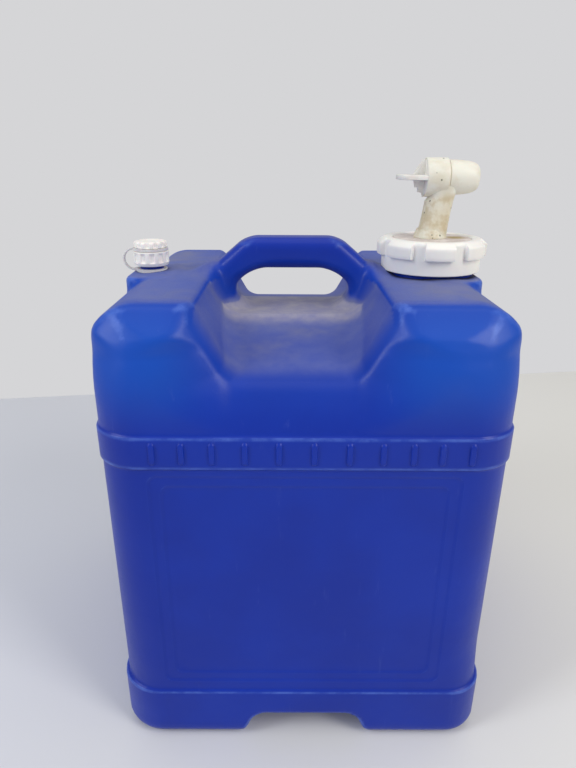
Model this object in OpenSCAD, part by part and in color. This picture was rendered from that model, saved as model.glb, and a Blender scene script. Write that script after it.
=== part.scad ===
// Rigid water container of about 26 litres with a moulded carrying handle,
// a lugged screw closure that holds a quarter-turn tap, and a tethered vent cap.
// Millimetres. +Z is up, the origin is the middle of the footprint at floor level,
// and the broad face with the recessed panel looks along -Y.

/* [Tank] */
// Width across the side walls
body_w = 286; // [270:1:300]
// Depth from the front wall to the rear wall
body_d = 280; // [265:1:295]
// Height of the flat shoulders
shoulder_z = 353; // [345:1:365]
// Plan radius of the four upright corners
corner_r = 33; // [24:1:40]
// Radius where the side walls turn into the shoulders
side_r = 32; // [14:1:34]
// Size of the 45 degree slope above the front and rear walls
slope = 24; // [16:1:30]
// Radius of the bottom edges
base_r = 8; // [4:1:12]
// Thickness of the blow-moulded wall
wall = 2.4; // [1.8:0.1:3.2]

/* [Belt, panel and skirt] */
// Bottom of the raised belt
belt_z = 248; // [235:1:260]
// Height of the raised belt
belt_h = 24; // [16:1:30]
// How far the belt and the skirt stand out of the wall
relief = 1.6; // [1:0.1:2.4]
// Number of grip ribs on the belt, on the front and again on the rear
rib_count = 11; // [5:1:13]
// Width of a grip rib
rib_w = 4.6; // [3:0.1:6]
// Distance between grip ribs
rib_pitch = 21; // [16:1:22]
// Distance of the middle rib right of the tank's middle
rib_shift = 4; // [0:0.5:6]
// Half width of the recessed panel
panel_x = 105; // [90:1:108]
// Bottom of the recessed panel
panel_z0 = 60; // [56:1:80]
// Top of the recessed panel
panel_z1 = 242; // [200:1:243]
// Width of the step round the panel
panel_step = 8; // [5:1:12]
// Height of the skirt round the base
skirt_h = 50; // [40:1:54]

/* [Base channel] */
// Half width of the channel at its roof
channel_x = 40; // [30:1:50]
// Height of the channel
channel_h = 25; // [15:1:30]
// How much further each side of the channel reaches at the floor
channel_flare = 11; // [5:1:16]
// Distance of the channel right of the tank's middle
channel_shift = 3; // [0:0.5:5]

/* [Hand troughs] */
// Middle of the handle and troughs, left of the tank's middle
grip_x = -8.5; // [-12:0.5:-6]
// Half width of a trough at its floor
trough_floor_x = 42; // [36:1:46]
// Half width of a trough at the shoulders
trough_top_x = 66; // [60:1:68]
// Height of the level saddle under the handle
saddle_z = 325; // [318:1:328]
// Half length of the saddle from front to rear
saddle_y = 31; // [24:1:40]
// Height of the trough floor at its outer end
trough_end_z = 308; // [302:1:314]
// Distance of the trough floor's outer end from the middle
trough_end_y = 118; // [112:1:122]
// Height where the scooped lip runs out on the front wall
lip_z = 294; // [288:1:300]
// Tilt of the flared facets beside the lip, from level
flare_tilt = 65; // [60:1:70]
// Turn of the flared facets about the upright
flare_turn = 228; // [222:1:234]

/* [Handle] */
// Top of the handle bar
handle_z = 381; // [376:1:386]
// Height of the handle bar
bar_h = 24; // [20:1:26]
// Depth of the handle bar from front to rear
bar_d = 29; // [24:1:34]
// Half length of the bar's flat top
bar_x = 37; // [32:1:42]
// Half length of the handle where its legs meet the shoulders
leg_x = 70; // [68:1:74]
// Half length of the finger opening at its widest
opening_x = 48; // [44:1:52]

/* [Fill closure] */
// Distance of the fill neck right of the tank's middle
fill_x = 103; // [101:1:104]
// Outer radius of the fill neck
fill_neck_r = 34.5; // [33:0.5:35.5]
// Inner radius of the fill neck
fill_bore_r = 31.5; // [29:0.5:32]
// Height of the fill neck above the shoulders
fill_neck_h = 19.6; // [17:0.1:22]
// Outer radius of the screw ring's skirt
ring_r = 39; // [38:0.5:40]
// Outer radius over the ring's lugs
lug_r = 43; // [41:0.5:43]
// Number of lugs round the ring
lug_count = 8; // [6:1:10]
// Angle that one lug covers
lug_angle = 31; // [20:1:34]
// Radius of the ring's top opening, which shows the tap disc
ring_hole_r = 31; // [28:0.5:32]
// Thickness of the flat gasket on the neck
gasket_t = 2.4; // [1.6:0.1:3]

/* [Tap] */
// Distance of the tap's foot left of the fill neck's axis
tap_shift = 1.7; // [0:0.1:4]
// Lean of the tap's stem from the upright
stem_lean = 7.6; // [0:0.1:12]
// Outer radius of the stem
stem_r = 12; // [11:0.1:12.6]
// Height of the barrel's axis above the tap disc
barrel_rise = 45.4; // [42:0.1:50]
// Outer radius of the barrel
barrel_r = 14.4; // [13.4:0.1:15]
// Outer radius of the spout beside the barrel, from where it tapers to its mouth
spout_r = 12.9; // [12:0.1:13.2]
// Radius of the plug's bore in the barrel
plug_bore_r = 10.4; // [9.6:0.1:10.8]
// Radius of the water way up the stem
way_r = 6; // [5:0.1:6.2]
// Radius of the outlet's bore
outlet_r = 8; // [7.4:0.1:8.4]
// Length of the knob's blade
blade_l = 24; // [18:1:28]
// Width of the knob's blade
blade_w = 28; // [20:1:32]
// Thickness of the knob's blade
blade_t = 3.6; // [2.5:0.1:4.5]

/* [Vent] */
// Distance of the vent neck left of the tank's middle
vent_x = 123; // [121:1:124]
// Outer radius of the vent neck
vent_neck_r = 9.5; // [9:0.1:10]
// Inner radius of the vent neck
vent_bore_r = 7; // [6:0.1:7.4]
// Height of the vent neck above the shoulders
vent_neck_h = 18; // [16:0.5:19]
// Largest radius of the vent cap
vent_cap_r = 14.2; // [13.5:0.1:14.6]
// Number of finger scallops round the vent cap
scallop_count = 12; // [8:1:16]
// Thickness of the tether strap
strap_t = 1.2; // [0.8:0.1:1.6]
// Width of the tether strap
strap_w = 3.2; // [2:0.1:4]

/* [Hidden] */
$fn = 64;
eps = 0.01;
turn_gap = 0.05;
seat_gap = 0.1;

// Fill closure heights
fill_lip_z = shoulder_z + fill_neck_h;
disc_z = fill_lip_z + gasket_t;
disc_rim_t = 3;
disc_rim_r = fill_neck_r + 1;
disc_t = 2.8;
disc_top_z = disc_z + 5.4;
ring_top_z = disc_top_z + 0.6;
ring_z = shoulder_z + 3;
ring_bore_r = ring_r - 2;
lug_z = ring_z + 12;

// Tap
tap_x = fill_x - tap_shift;
washer_t = 1.2;
foot_r = 13;
foot_t = 2;
tail_r = 8;
tail_l = 18;
inner_washer_t = 2.4;
nut_h = 8;
nut_r = 14;
barrel_z = disc_top_z + barrel_rise;
barrel_x = tap_x + barrel_rise * tan(stem_lean);
stem_l = barrel_rise / cos(stem_lean);
tap_foot_z = disc_top_z + washer_t;
barrel_x0 = barrel_x - 12.4;
barrel_step_x = barrel_x + 4.6;
spout_x1 = barrel_x + 26.1;
ledge_x = barrel_x + 12.6;
port_x = barrel_x - 1.2;
plug_way_r = 6.5;
seam_depth = 0.6;
seam_w = 0.8;
plug_r = plug_bore_r - turn_gap;
seal_w = 2;
seal_depth = 1.6;
key_r = 4;
key_l = 5;
collar_t = 2;
collar_inset = 1.2;

// Vent
vent_lip_z = shoulder_z + vent_neck_h;
liner_t = 1.4;
vent_cap_z = shoulder_z + 5;
vent_top_z = vent_lip_z + liner_t + 4.6;
ring_t = 2.4;
pad_reach = body_w / 2 - 3.5;
collar_h = 1.8;
collar_z = vent_top_z - 7.2;
strap_x = -vent_x - vent_cap_r;

// ---------- helpers ----------

// Rectangle standing on the X axis with its own radius at the bottom and at the top.
module soft_rect(w, h, r0, r1) {
    translate([-w / 2, r0]) square([w, h - r0 - r1]);
    translate([-w / 2 + r0, 0]) square([w - 2 * r0, r0 + eps]);
    translate([-w / 2 + r1, h - r1 - eps]) square([w - 2 * r1, r1 + eps]);
    for (s = [-1, 1]) {
        translate([s * (w / 2 - r0), r0]) circle(r0);
        translate([s * (w / 2 - r1), h - r1]) circle(r1);
    }
}

// Rectangle about the origin with one radius at its corners.
module round_rect(w, d, r) {
    translate([0, -d / 2]) soft_rect(w, d, r, r);
}

// Stands a drawing in X and Z up, and runs it from front to rear.
module along_y(d) {
    translate([0, d / 2, 0]) rotate([90, 0, 0]) linear_extrude(d) children();
}

// Stands a drawing in Y and Z up, and runs it from left to right.
module along_x(w) {
    translate([-w / 2, 0, 0]) rotate([90, 0, 90]) linear_extrude(w) children();
}

module both_y() {
    children();
    mirror([0, 1, 0]) children();
}

module both_x() {
    children();
    mirror([1, 0, 0]) children();
}

// ---------- tank ----------
// Every form below takes t, its distance inside the outer surface, so that the same
// description drawn at t = 0 and at t = wall makes the two faces of the moulded wall.

// The box with round upright corners, round side shoulders and sloped front and rear.
module tank_block(t) {
    w = body_w - 2 * t;
    d = body_d - 2 * t;
    h = shoulder_z - 2 * t;
    cut = slope - t * 0.6;
    translate([0, 0, t]) intersection() {
        linear_extrude(h) round_rect(w, d, corner_r - t);
        along_y(d + 2) soft_rect(w, h, base_r - t, side_r - t);
        along_x(w + 2) polygon([
            [-d / 2 + base_r / 2, 0], [d / 2 - base_r / 2, 0], [d / 2, base_r], [d / 2, h - cut],
            [d / 2 - cut, h], [-d / 2 + cut, h], [-d / 2, h - cut], [-d / 2, base_r]
        ]);
    }
}

// The two hand troughs, joined under the handle by the saddle.
module troughs(t) {
    top = handle_z;
    side = (trough_top_x - trough_floor_x) / (shoulder_z - trough_end_z);
    lip_y = body_d / 2;
    far_y = lip_y + 30;
    fall = (trough_end_z - lip_z) / (lip_y - trough_end_y);
    far_z = lip_z - fall * (far_y - lip_y);
    translate([grip_x, 0, 0]) intersection() {
        along_x(4 * trough_top_x) polygon([
            [-far_y, far_z - t], [-trough_end_y - t / 2, trough_end_z - t], [-saddle_y - t / 2, saddle_z - t],
            [saddle_y + t / 2, saddle_z - t], [trough_end_y + t / 2, trough_end_z - t], [far_y, far_z - t],
            [far_y, top], [-far_y, top]
        ]);
        union() {
            along_y(2 * far_y) polygon([
                [-trough_floor_x - t, far_z - t], [trough_floor_x + t, far_z - t],
                [trough_floor_x + t, trough_end_z], [trough_floor_x + t + side * (top - trough_end_z), top],
                [-trough_floor_x - t - side * (top - trough_end_z), top], [-trough_floor_x - t, trough_end_z]
            ]);
            both_x() both_y() flare(t);
        }
    }
}

// Facet that opens a trough's side wall out to the front slope and the front wall.
module flare(t) {
    reach = 120;
    intersection() {
        translate([trough_top_x, -trough_end_y, shoulder_z - 7])
            rotate([0, flare_tilt, flare_turn])
                translate([-reach / 2, -reach / 2, -t]) cube([reach, reach, reach / 2]);
        translate([trough_floor_x, -body_d, lip_z - reach / 2]) cube([reach / 2, body_d, 2 * reach]);
    }
}

// Channel that runs under the base from front to rear and leaves two long feet.
module base_channel(t) {
    translate([channel_shift, 0, 0]) along_y(body_d + 20) polygon([
        [-channel_x - channel_flare - t, -1], [channel_x + channel_flare + t, -1],
        [channel_x + t, channel_h + t], [-channel_x - t, channel_h + t]
    ]);
}

// Flat bosses that carry the two necks out to the side walls.
module neck_pads(t) {
    depth = 28;
    translate([0, 0, shoulder_z - depth]) linear_extrude(depth - t) {
        translate([pad_reach - 25, 0]) round_rect(50 - 2 * t, 82 - 2 * t, 18);
        translate([-pad_reach + 20, 0]) round_rect(40 - 2 * t, 62 - 2 * t, 12);
    }
}

// Outline of the handle: a level bar on two sloping legs, round the finger opening.
module handle_outline(t) {
    foot_z = saddle_z - 12;
    drop = handle_z - shoulder_z;
    under_z = handle_z - bar_h;
    difference() {
        polygon([
            [-leg_x + t, foot_z], [-leg_x + t, shoulder_z], [-bar_x + t / 2, handle_z - t],
            [bar_x - t / 2, handle_z - t], [leg_x - t, shoulder_z], [leg_x - t, foot_z]
        ]);
        polygon([
            [-opening_x + 9 - t, saddle_z - t], [-opening_x - t, saddle_z + 17],
            [-opening_x + 16 - t / 2, under_z + t], [opening_x - 16 + t / 2, under_z + t],
            [opening_x + t, saddle_z + 17], [opening_x - 9 + t, saddle_z - t]
        ]);
        translate([-opening_x, foot_z - 1]) square([2 * opening_x, saddle_z - foot_z + 1 - t]);
    }
}

module handle(t) {
    translate([grip_x, 0, 0]) intersection() {
        along_y(bar_d) handle_outline(t);
        translate([0, 0, saddle_z - 12]) along_x(2 * leg_x)
            soft_rect(bar_d - 2 * t, handle_z - saddle_z + 12 - t, eps * 2, 9 - t);
    }
}

module tank_form(t) {
    difference() {
        union() {
            tank_block(t);
            neck_pads(t);
        }
        troughs(t);
        base_channel(t);
    }
    handle(t);
}

// Raised belt, ribs and skirt, and the recess of the front and rear panels.
module belt(z, h) {
    translate([0, 0, z]) linear_extrude(h)
        round_rect(body_w + 2 * relief, body_d + 2 * relief, corner_r + relief);
}

module ribs() {
    rib_h = belt_h - 9;
    for (i = [0:rib_count - 1])
        translate([rib_shift + (i - (rib_count - 1) / 2) * rib_pitch, 0, 0])
            translate([0, -body_d / 2 - relief, belt_z + belt_h / 2])
            rotate([90, 0, 0]) linear_extrude(1.2) round_rect(rib_w, rib_h, rib_w / 2 - eps);
}

module panel_recess() {
    depth = 0.8;
    for (i = [0, 1])
        translate([0, -body_d / 2 + depth * (i + 1), (panel_z0 + panel_z1) / 2])
            rotate([90, 0, 0]) linear_extrude(10)
                round_rect(2 * (panel_x - i * panel_step), panel_z1 - panel_z0 - 2 * i * panel_step, 6);
}

module neck(r, h) {
    translate([0, 0, shoulder_z - wall]) cylinder(r = r, h = h + wall);
}

module tank_shell() {
    color([0.11, 0.21, 0.62]) difference() {
        union() {
            difference() {
                union() {
                    tank_form(0);
                    intersection() {
                        belt(base_r, skirt_h - base_r);
                        difference() {
                            translate([-body_w, -body_d, 0]) cube([2 * body_w, 2 * body_d, skirt_h]);
                            base_channel(0);
                        }
                    }
                    belt(belt_z, belt_h);
                    both_y() ribs();
                }
                both_y() panel_recess();
            }
            translate([fill_x, 0, 0]) neck(fill_neck_r, fill_neck_h);
            translate([-vent_x, 0, 0]) neck(vent_neck_r, vent_neck_h);
        }
        tank_form(wall);
        translate([fill_x, 0, shoulder_z - 2 * wall]) cylinder(r = fill_bore_r, h = 40);
        translate([-vent_x, 0, shoulder_z - 2 * wall]) cylinder(r = vent_bore_r, h = 40);
    }
}

// ---------- fill closure ----------

module screw_ring() {
    color([0.9, 0.9, 0.91]) translate([fill_x, 0, 0]) {
        rotate_extrude() polygon([
            [ring_bore_r, ring_z], [ring_r, ring_z], [ring_r, ring_top_z - 2.4], [ring_r - 2.4, ring_top_z],
            [ring_hole_r, ring_top_z], [ring_hole_r, disc_z + disc_rim_t], [ring_bore_r, disc_z + disc_rim_t]
        ]);
        for (i = [0:lug_count - 1])
            rotate([0, 0, -108.5 + i * 360 / lug_count]) rotate_extrude(angle = lug_angle) polygon([
                [ring_r - 1, lug_z], [lug_r, lug_z], [lug_r, ring_top_z - 3.8], [lug_r - 3, ring_top_z - 1],
                [ring_r - 1, ring_top_z - 1]
            ]);
    }
}

module neck_gasket() {
    color([0.2, 0.2, 0.21]) translate([fill_x, 0, fill_lip_z]) difference() {
        cylinder(r = fill_neck_r, h = gasket_t);
        translate([0, 0, -1]) cylinder(r = fill_bore_r - 2, h = gasket_t + 2);
    }
}

// Dished disc with a raised middle that fills the ring's hole.
module tap_disc() {
    step_r = ring_hole_r - 0.3;
    rim_top_z = disc_z + disc_rim_t - seat_gap / 2;
    color([0.84, 0.8, 0.76]) difference() {
        translate([fill_x, 0, 0]) rotate_extrude() polygon([
            [0, disc_top_z - disc_t], [step_r - 2.6, disc_top_z - disc_t], [step_r - 2.6, disc_z],
            [disc_rim_r, disc_z], [disc_rim_r, rim_top_z], [step_r, rim_top_z],
            [step_r, disc_top_z - 0.6], [step_r - 0.6, disc_top_z], [0, disc_top_z]
        ]);
        translate([tap_x, 0, disc_z - 1]) cylinder(r = tail_r + turn_gap, h = 12);
    }
}

module ring_washer(r, bore, h) {
    difference() {
        cylinder(r = r, h = h);
        translate([0, 0, -1]) cylinder(r = bore, h = h + 2);
    }
}

module outer_washer() {
    color([0.2, 0.2, 0.21]) translate([tap_x, 0, disc_top_z])
        ring_washer(foot_r - 0.6, tail_r + turn_gap, washer_t);
}

module inner_washer() {
    color([0.2, 0.2, 0.21]) translate([tap_x, 0, disc_top_z - disc_t - inner_washer_t])
        ring_washer(nut_r - 0.5, tail_r + turn_gap, inner_washer_t);
}

module lock_nut() {
    nut_z = disc_top_z - disc_t - inner_washer_t - nut_h;
    color([0.88, 0.86, 0.8]) translate([tap_x, 0, nut_z]) difference() {
        union() {
            cylinder(r = nut_r, h = nut_h, $fn = 6);
            translate([0, 0, nut_h - 1.6]) cylinder(r = nut_r, h = 1.6);
        }
        translate([0, 0, -1]) cylinder(r = tail_r + turn_gap, h = nut_h + 2);
    }
}

// ---------- tap ----------

// Lays children out on the leaning axis of the stem, starting at the tap's foot.
module on_stem() {
    translate([tap_x, 0, disc_top_z]) rotate([0, stem_lean, 0]) children();
}

// Lays children out on the barrel's axis, with +Z of the children along +X.
module on_barrel(x) {
    translate([x, 0, barrel_z]) rotate([0, 90, 0]) children();
}

// Spout beyond the seam groove, tapered and then rounded in to its mouth.
module spout() {
    l = spout_x1 - barrel_step_x + 1;
    on_barrel(barrel_step_x - 1) rotate_extrude() polygon([
        [0, 0], [spout_r - seam_depth, 0], [spout_r - seam_depth, 1 + seam_w], [spout_r, 1 + seam_w],
        [spout_r - 0.2, 0.4 * l], [spout_r - 1, l - 5], [spout_r - 1.9, l - 2], [spout_r - 3.3, l], [0, l]
    ]);
}

// Stem up to the barrel's axis, cut back where the knob's collar turns beside it.
module stem() {
    cut_z = barrel_z - barrel_r + collar_inset / 2;
    intersection() {
        on_stem() cylinder(r = stem_r, h = stem_l);
        along_y(4 * stem_r) polygon([
            [tap_x - 50, tap_foot_z + eps], [tap_x + 50, tap_foot_z + eps], [tap_x + 50, barrel_z],
            [barrel_x0, barrel_z], [barrel_x0, cut_z], [tap_x - 50, cut_z]
        ]);
    }
}

module tap_body() {
    color([0.86, 0.83, 0.75]) difference() {
        union() {
            translate([tap_x, 0, tap_foot_z]) cylinder(r = foot_r, h = foot_t);
            stem();
            translate([tap_x, 0, tap_foot_z - tail_l]) cylinder(r = tail_r, h = tail_l + 1);
            on_barrel(barrel_x0) cylinder(r = barrel_r, h = barrel_step_x - barrel_x0);
            spout();
        }
        on_barrel(barrel_x0 - 1) cylinder(r = plug_bore_r, h = ledge_x - barrel_x0 + 1);
        on_barrel(ledge_x - 1) cylinder(r = outlet_r, h = 40);
        translate([tap_x, 0, tap_foot_z - tail_l - 1]) cylinder(r = way_r, h = tail_l + 1);
        on_stem() cylinder(r = way_r - 0.5, h = stem_l - plug_bore_r / 2);
    }
}

module valve_plug() {
    plug_l = ledge_x - barrel_x0 - 2 * seat_gap;
    socket = key_l + 1;
    color([0.88, 0.87, 0.83]) difference() {
        on_barrel(barrel_x0 + seat_gap) cylinder(r = plug_r, h = plug_l);
        on_barrel(barrel_x0 - 1) cylinder(r = key_r, h = socket + 1);
        on_barrel(barrel_x0 + socket + 2) cylinder(r = plug_way_r, h = plug_l);
        translate([port_x, 0, barrel_z]) rotate([90, 0, 0]) cylinder(r = way_r, h = 20);
        for (x = seal_places()) on_barrel(x) ring_washer(plug_bore_r + 2, plug_bore_r - seal_depth, seal_w);
    }
}

function seal_places() = [barrel_x0 + 3.2, ledge_x - 3.4];

module plug_seal(x) {
    color([0.12, 0.12, 0.13]) on_barrel(x) ring_washer(plug_bore_r - 0.02, plug_bore_r - seal_depth, seal_w);
}

module plug_seal_outer() {
    plug_seal(seal_places()[0]);
}

module plug_seal_inner() {
    plug_seal(seal_places()[1]);
}

// Turning knob: a level blade and an upright web on a collar, keyed into the plug.
module valve_knob() {
    end_x = barrel_x0 - seat_gap;
    web_t = 2.6;
    face_x = end_x - collar_t;
    color([0.88, 0.87, 0.83]) {
        on_barrel(face_x) cylinder(r = barrel_r - collar_inset, h = collar_t);
        on_barrel(end_x - eps) cylinder(r = key_r, h = key_l);
        translate([face_x + eps, 0, barrel_z - blade_t / 2]) linear_extrude(blade_t) intersection() {
            translate([-blade_l / 2 + 5, 0]) round_rect(blade_l + 10, blade_w, 7);
            translate([-blade_l, -blade_w]) square([blade_l, 2 * blade_w]);
        }
        translate([face_x + eps, 0, barrel_z]) along_y(web_t) polygon([
            [collar_t - 1, 12], [0, 13.2], [-2, 13.2], [-9, 2.2], [-9.4, 0], [-8.5, -1.4], [-7, -7.6],
            [-4.6, -11.1], [-0.8, -11.7], [-0.5, -14.6], [0, -14.6], [0, -12], [collar_t - 1, -12]
        ]);
    }
}

// ---------- vent ----------

module vent_cap() {
    crown_r = vent_cap_r - 1.1;
    groove_r = vent_cap_r - 2.2;
    color([0.86, 0.86, 0.85]) translate([-vent_x, 0, 0]) difference() {
        rotate_extrude() polygon([
            [0, vent_cap_z], [vent_cap_r - 0.4, vent_cap_z], [vent_cap_r - 0.4, vent_cap_z + 2],
            [vent_cap_r, vent_cap_z + 2.4], [vent_cap_r, collar_z - 0.6], [groove_r, collar_z - seat_gap / 2],
            [groove_r, collar_z + collar_h + seat_gap / 2], [crown_r, collar_z + collar_h + 0.6],
            [crown_r, vent_top_z - 1], [crown_r - 1, vent_top_z], [0, vent_top_z]
        ]);
        translate([0, 0, vent_cap_z - 1])
            cylinder(r = vent_neck_r + 1, h = vent_lip_z + liner_t - vent_cap_z + 1);
        for (i = [0:scallop_count - 1]) rotate([0, 0, (i + 0.5) * 360 / scallop_count])
            translate([vent_cap_r + 1.4, 0, vent_cap_z + 2.4])
                cylinder(r = 2.6, h = collar_z - vent_cap_z - 4);
    }
}

module vent_liner() {
    color([0.75, 0.75, 0.74]) translate([-vent_x, 0, vent_lip_z])
        cylinder(r = vent_neck_r + 0.6, h = liner_t);
}

module tether_neck_ring() {
    color([0.86, 0.86, 0.86]) {
        translate([-vent_x, 0, shoulder_z]) ring_washer(12.2, vent_neck_r + turn_gap, ring_t);
        translate([strap_x, -strap_w / 2, shoulder_z]) cube([4, strap_w, ring_t]);
    }
}

module tether_collar() {
    inner_r = vent_cap_r - 2.2 + turn_gap;
    color([0.86, 0.86, 0.86]) translate([0, 0, collar_z]) difference() {
        union() {
            translate([-vent_x, 0, 0]) cylinder(r = vent_cap_r - 0.4, h = collar_h);
            translate([strap_x, -strap_w / 2, 0]) cube([2, strap_w, collar_h]);
        }
        translate([-vent_x, 0, -1]) cylinder(r = inner_r, h = collar_h + 2);
    }
}

// Half loop of strap from the neck ring up to the collar on the cap.
module tether_strap() {
    low = shoulder_z + ring_t / 2;
    high = collar_z + collar_h / 2;
    r = (high - low) / 2;
    color([0.86, 0.86, 0.86]) translate([strap_x, 0, (low + high) / 2]) rotate([90, 0, 0])
        rotate([0, 0, 90]) rotate_extrude(angle = 180)
            translate([r - strap_t / 2, -strap_w / 2]) square([strap_t, strap_w]);
}

tank_shell();
screw_ring();
neck_gasket();
tap_disc();
tap_body();
outer_washer();
inner_washer();
lock_nut();
valve_plug();
plug_seal_outer();
plug_seal_inner();
valve_knob();
vent_cap();
vent_liner();
tether_neck_ring();
tether_strap();
tether_collar();
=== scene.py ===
import math

import bmesh
import bpy
import numpy as np
from bpy.props import FloatProperty, FloatVectorProperty, IntProperty, PointerProperty
from mathutils import Euler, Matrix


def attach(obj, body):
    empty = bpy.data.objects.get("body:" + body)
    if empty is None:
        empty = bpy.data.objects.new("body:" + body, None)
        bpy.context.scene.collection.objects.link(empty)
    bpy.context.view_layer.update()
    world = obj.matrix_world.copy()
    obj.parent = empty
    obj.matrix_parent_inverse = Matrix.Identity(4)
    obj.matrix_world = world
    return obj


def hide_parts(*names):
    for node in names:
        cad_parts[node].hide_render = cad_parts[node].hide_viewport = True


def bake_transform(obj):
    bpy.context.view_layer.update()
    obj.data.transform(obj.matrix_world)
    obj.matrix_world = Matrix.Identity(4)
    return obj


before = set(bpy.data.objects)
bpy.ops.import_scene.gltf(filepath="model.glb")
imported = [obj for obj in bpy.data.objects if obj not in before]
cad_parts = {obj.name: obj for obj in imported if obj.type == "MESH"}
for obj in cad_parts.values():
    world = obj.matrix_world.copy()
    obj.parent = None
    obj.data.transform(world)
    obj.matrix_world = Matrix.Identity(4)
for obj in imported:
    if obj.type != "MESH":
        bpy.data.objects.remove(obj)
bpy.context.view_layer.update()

bl_info = {
    "name": "Water Container Dresser",
    "version": (1, 0, 0),
    "blender": (4, 5, 0),
    "location": "View3D > Sidebar > Container",
    "description": "Builds the moulded surfaces and finishes of a rigid water container with a tap",
    "category": "Object",
}

# Heights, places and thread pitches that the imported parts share, in millimetres.
SHOULDER_Z = 353.0
FILL_X = 103.0
VENT_X = -123.0
GRIP_X = -8.5
GRIP_TOP_Z = 381.0
TAP_X = 101.3
BARREL_Z = 425.8
BARREL_X = 107.358
BARREL_BACK_X = BARREL_X - 12.4
DISC_TOP_Z = 380.4
THREAD_PITCH = 6.0
VENT_PITCH = 3.0

# The tank's walls in millimetres: half sizes, roundings, and the bands that stand out of them.
HALF_WIDTH = 143.0
HALF_DEPTH = 140.0
CORNER_R = 33.0
SHOULDER_R = 32.0
BASE_R = 12.5
BELT_LOW = 248.0
BELT_HIGH = 272.0
SKIRT_TOP = 50.0
BAND_RELIEF = 1.6
# Half width, foot and head of each step that sinks the front and rear panels.
PANEL_STEPS = ((105, 60, 242), (97, 68, 234))
# Middle along X, half sizes and corner radius of the pad round each neck.
NECK_PADS = ((114.5, 25, 41, 18), (-119.5, 20, 31, 12))
# Middle along X, radius and foot of the round well under each neck.
WELLS = ((FILL_X, 31.8, 100), (VENT_X, 7.6, 250))

# Settings that nodes share: a range with soft ends, a product of two masks, a blend of two colours.
SOFT = {"interpolation_type": "SMOOTHSTEP"}
PRODUCT = {"operation": "MULTIPLY"}
COLOURS = {"data_type": "RGBA"}


# ---------- shared tools ----------

def linear(hex_colour):
    """Turns an sRGB hex colour into linear red, green and blue."""
    parts = [int(hex_colour[i:i + 2], 16) / 255 for i in (0, 2, 4)]
    return tuple(c / 12.92 if c <= 0.04045 else ((c + 0.055) / 1.055) ** 2.4 for c in parts)


def rgba(colour):
    """Adds full opacity to a linear colour."""
    return (*colour[:3], 1.0)


def per_mm(size):
    """Scale of a pattern on Object coordinates whose cells are size millimetres across."""
    return 1000.0 / size


def add_node(tree, kind, inputs=None, output=None, **settings):
    """Adds one node, sets its settings, and sets or links its inputs.

    Returns the node, or its output of the given name or number.
    """
    node = tree.nodes.new(kind)
    for key, value in settings.items():
        setattr(node, key, value)
    for key, value in (inputs or {}).items():
        if isinstance(value, bpy.types.NodeSocket):
            tree.links.new(value, node.inputs[key])
        else:
            node.inputs[key].default_value = value
    return node if output is None else node.outputs[output]


def begin_material(name, **constants):
    """Starts a material on one Principled shader and returns it with its tree and shader."""
    material = bpy.data.materials.new(name)
    material.use_nodes = True
    tree = material.node_tree
    tree.nodes.clear()
    shader = add_node(tree, "ShaderNodeBsdfPrincipled", constants)
    output = add_node(tree, "ShaderNodeOutputMaterial")
    tree.links.new(shader.outputs[0], output.inputs["Surface"])
    return material, tree, shader


def smooth(x, low, high):
    """Cubic step from 0 below low to 1 above high."""
    t = np.clip((x - low) / (high - low), 0.0, 1.0)
    return t * t * (3 - 2 * t)


def superellipse(angles, power):
    """Unit superellipse: each angle's cosine and sine, raised to 2 / power with their signs kept."""
    c, s = np.cos(angles), np.sin(angles)
    return np.sign(c) * np.abs(c) ** (2 / power), np.sign(s) * np.abs(s) ** (2 / power)


def make_piece(name, points, faces, material, body, stands_for=(), sharp=40.0, weld=True):
    """Puts points in millimetres and faces into a smooth-shaded mesh that rides on a body.

    Double points are merged, so poles and seams close, and faces are turned outwards. Edges whose
    faces meet at more than sharp degrees stay crisp.
    """
    mesh = bpy.data.meshes.new(name)
    mesh.from_pydata((np.asarray(points, float) / 1000).tolist(), [], np.asarray(faces).tolist())
    if weld:
        work = bmesh.new()
        work.from_mesh(mesh)
        bmesh.ops.remove_doubles(work, verts=work.verts, dist=2e-6)
        bmesh.ops.dissolve_degenerate(work, edges=work.edges, dist=1e-7)
        bmesh.ops.recalc_face_normals(work, faces=work.faces)
        work.to_mesh(mesh)
        work.free()
    mesh.shade_smooth()
    mesh.set_sharp_from_angle(angle=math.radians(sharp))
    mesh.materials.append(material)
    piece = bpy.data.objects.new(name, mesh)
    bpy.context.scene.collection.objects.link(piece)
    if body:
        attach(piece, body)
    if stands_for:
        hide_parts(*stands_for)
    return piece


def grid_faces(rows, columns, wrap_rows=False, wrap_columns=False, first=0):
    """Quads of a grid of rows by columns points, which may wrap either way."""
    r = np.arange(rows if wrap_rows else rows - 1)[:, None]
    c = np.arange(columns if wrap_columns else columns - 1)[None, :]
    r1, c1 = (r + 1) % rows, (c + 1) % columns
    quads = np.stack([r * columns + c, r * columns + c1, r1 * columns + c1, r1 * columns + c], -1)
    return quads.reshape(-1, 4) + first


def lathe(radius, height, angles, centre):
    """Surface of revolution: a point of the closed outline at (radius, height) turned to each angle.

    radius and height are arrays of outline points, or of angles by outline points.
    """
    radius = np.broadcast_to(radius, (len(angles), np.shape(radius)[-1]))
    height = np.broadcast_to(height, radius.shape)
    x = centre[0] + radius * np.cos(angles)[:, None]
    y = centre[1] + radius * np.sin(angles)[:, None]
    points = np.stack([x, y, height], -1).reshape(-1, 3)
    return points, grid_faces(*radius.shape, wrap_rows=True, wrap_columns=True)


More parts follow.
